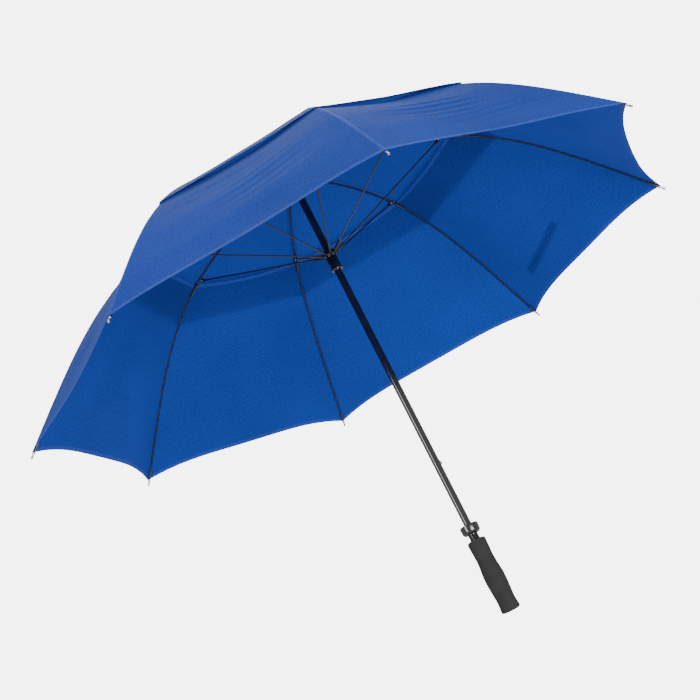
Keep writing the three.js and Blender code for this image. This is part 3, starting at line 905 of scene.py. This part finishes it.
GRIP_OUTLINE = [
    (17.8, 5), (16.8, 16), (16.9, 28), (18.1, 44), (18.8, 62),
    (18.2, 75), (16.9, 88), (16.1, 101), (16.7, 116), (17.3, 130),
]
grip_high = heights("grip")[1]
base_round = [
    (14.6 + 3.1 * math.sin(a), 3.2 - 3.1 * math.cos(a)) for a in np.linspace(0.2, math.pi / 2, 6)
]
grip_mouth = [(11, -0.4), (8.6, -0.8), (BORE, -1.2)]
turned_piece(
    "foam_grip",
    [(0, 0), (8, 0), (12, 0.1), (14.6, 0.1)]
    + base_round
    + through_points(GRIP_OUTLINE, 7)
    + edge_round(14.6, grip_high - 2.6, 2.5, 0)
    + raised(grip_mouth, grip_high)
    + [(BORE, 7.6), (0, 7.6)],
    FOAM, "shaft", "grip", closed=False, segments=72,
)

cup_low, cup_high = 148.5, heights("tip_cup")[1]
NECK_RIDGE = [(8.5, 0), (9.2, 0.35), (9.6, 1.0), (9.2, 1.65), (8.5, 2.0)]
neck = [(BORE, grip_high + 0.4), (8.6, grip_high + 0.4)]
for ridge in range(3):
    neck += raised(NECK_RIDGE, grip_high + 1.8 + 3.3 * ridge)
cup_outside = [(8.6, 0), (11, 0.2), (13.6, 0.9), (15.6, 2.4), (16.7, 4.6), (17.15, 7.2)]
cup_inside = [
    (15.2, 6.4), (14.6, 5), (13, 4.1), (9.6, 4.0), (9.2, 4.4), (9.2, 6.6), (8.8, 7), (BORE, 7),
]
turned_piece(
    "cup",
    neck
    + raised(cup_outside, cup_low)
    + [(17.2, cup_high - 1.6)]
    + edge_round(16.5, cup_high - 0.75, 0.7, 0)
    + edge_round(16.1, cup_high - 0.75, 0.7, 1)
    + [(15.3, cup_high - 3)]
    + raised(cup_inside, cup_low),
    BLACK_PLASTIC, "shaft", "tip_cup", segments=72,
)

run_low, run_high = heights("runner")
prong_slots = [((10, 4.0, 30), (14.45, 0, run_high - 10), k * PITCH) for k in range(RIBS)]
catch_window = ((8, 3.4, 14), (10, 0, run_low + 11.5), CATCH_TURN)
runner_flare = [(10.2, -15), (10.25, -11.4), (11.4, -9.9), (13.2, -8.6)]
turned_piece(
    "runner_body",
    [(BORE, run_low), (10.8, run_low)]
    + edge_round(10.9, run_low + 0.7, 0.7, 3)
    + edge_round(10.9, run_low + 2.6, 0.7, 0)
    + [(10.6, run_low + 3.6), (10.2, run_low + 4.4)]
    + raised(runner_flare, run_high)
    + edge_round(13.3, run_high - 7.2, 0.9, 3)
    + edge_round(13.2, run_high - 1.2, 1.0, 0)
    + [(12, run_high - 0.1), (BORE, run_high)],
    BLACK_PLASTIC, "runner", "runner",
    cutters=prong_slots + [catch_window],
)

crown_low, crown_high = heights("crown")
crown_notches = [((10, 3.9, 40), (13.45, 0, CROWN[2] * 1000 - 17.5), k * PITCH) for k in range(RIBS)]
turned_piece(
    "crown_notch",
    raised([(BORE, 0), (10.2, 0), (10.8, 0.6), (13.4, 2.8), (13.9, 3.6)], crown_low)
    + raised([(13.9, -1.4), (13.4, -0.4), (12.6, 0), (BORE, 0)], crown_high),
    BLACK_PLASTIC, "shaft", "crown",
    cutters=crown_notches,
)

CAP_OUTLINE = [
    (BORE, 0), (16.6, 0), (17.2, 0.3), (17.35, 0.8), (16.9, 1.5),
    (15, 2.3), (12.5, 3.1), (10.5, 3.45), (BORE, 3.55),
]
turned_piece(
    "cap_disc", raised(CAP_OUTLINE, heights("canopy_cap")[0]),
    BLACK_PLASTIC, "shaft", "canopy_cap",
)

FERRULE_OUTLINE = [
    (10.5, 0.8), (10.4, 2.8), (9.4, 4.8), (9.1, 14), (8.8, 28), (7.6, 41), (6.3, 49), (5.6, 54), (4, 57.3),
]
ferrule_low = heights("ferrule")[0]
turned_piece(
    "ferrule_spike",
    [(BORE, ferrule_low), (10.3, ferrule_low)]
    + through_points(raised(FERRULE_OUTLINE, ferrule_low), 4)
    + [(2, ferrule_low + 58.2), (0, ferrule_low + 58.35)],
    BLACK_PLASTIC, "shaft", "ferrule", closed=False,
)


def wire_ring(name, radius, height, body, wire=0.55):
    """A wire bent into a ring about the shaft, in millimetres."""
    turn = np.linspace(0, 2 * math.pi, 11)[:-1]
    section = [(radius + wire * math.cos(a), height + wire * math.sin(a)) for a in turn]
    mesh = shape(name, *lathe(section, 64, closed=True))
    place_piece(name, mesh, SPRING_STEEL, body)


wire_ring("crown_wire", CROWN[0] * 1000, CROWN[2] * 1000, "shaft")
wire_ring("runner_wire", RUNNER_PIVOT[0] * 1000, RUNNER_PIVOT[1] * 1000, "runner")

# ---- Camera, where a camera fitted to the photo stands ----
camera = bpy.data.objects.new("camera", bpy.data.cameras.new("camera"))
bpy.context.collection.objects.link(camera)
camera.data.lens = 81.1156
camera.data.sensor_width = 36
camera.matrix_world = Matrix(
    (
        (0.901106, 0.386851, -0.195844, -0.613895),
        (-0.052734, -0.350541, -0.935061, -2.702308),
        (-0.430381, 0.852917, -0.295475, -0.302941),
        (0, 0, 0, 1),
    )
)
bpy.context.scene.camera = camera

# ---- Floor, world and lights ----
FLOOR_RADIUS = 16
FLOOR_HEIGHT = -3.6  # low enough to stay out of the photo's view, which looks up
AMBIENT = 0.65
BACKDROP = 6.0  # the world's strength where the camera sees it

bpy.ops.mesh.primitive_circle_add(
    vertices=96, radius=FLOOR_RADIUS, fill_type="NGON", location=(0, 0, FLOOR_HEIGHT)
)
floor = bpy.context.object
floor.name = "floor"
floor_material, nodes, links, shader = new_material("pale_floor")
place = nodes.new("ShaderNodeTexCoord").outputs["Object"]
greys = ((0.3, (0.86, 0.86, 0.86)), (0.7, (0.88, 0.88, 0.88)))
links.new(ramp(nodes, links, noise(nodes, links, place, 3.0), greys), shader.inputs["Base Color"])
shader.inputs["Roughness"].default_value = 0.9
floor.data.materials.append(floor_material)

world = bpy.data.worlds.new("studio")
bpy.context.scene.world = world
world.use_nodes = True
nodes, links = world.node_tree.nodes, world.node_tree.links
background = nodes["Background"]
background.inputs["Color"].default_value = (1, 1, 1, 1)
camera_ray = nodes.new("ShaderNodeLightPath").outputs["Is Camera Ray"]
links.new(span(nodes, links, camera_ray, AMBIENT, BACKDROP), background.inputs["Strength"])


def area_light(name, location, target, size, power, height=None):
    """A panel of light in watts, square unless it has a height, that the camera doesn't see."""
    light = bpy.data.lights.new(name, "AREA")
    light.shape = "RECTANGLE"
    light.size = size
    light.size_y = height or size
    light.energy = power
    obj = bpy.data.objects.new(name, light)
    bpy.context.collection.objects.link(obj)
    obj.location = location
    obj.visible_camera = False
    obj.rotation_euler = (Vector(target) - Vector(location)).to_track_quat("-Z", "Y").to_euler()


area_light("key", (1.6, -3.2, 3.2), (0.1, 0, 0.75), 1.8, 100)
area_light("above", (0.3, 1.8, 3.6), (0, 0, 0.8), 2.4, 45)
area_light("low_front", (0.9, -3.4, -0.5), (0, 0, 0.7), 1.8, 165)
area_light("side_panel", (-2.4, -1.6, 0.3), (0, 0, 0.3), 1.0, 62, 2.6)
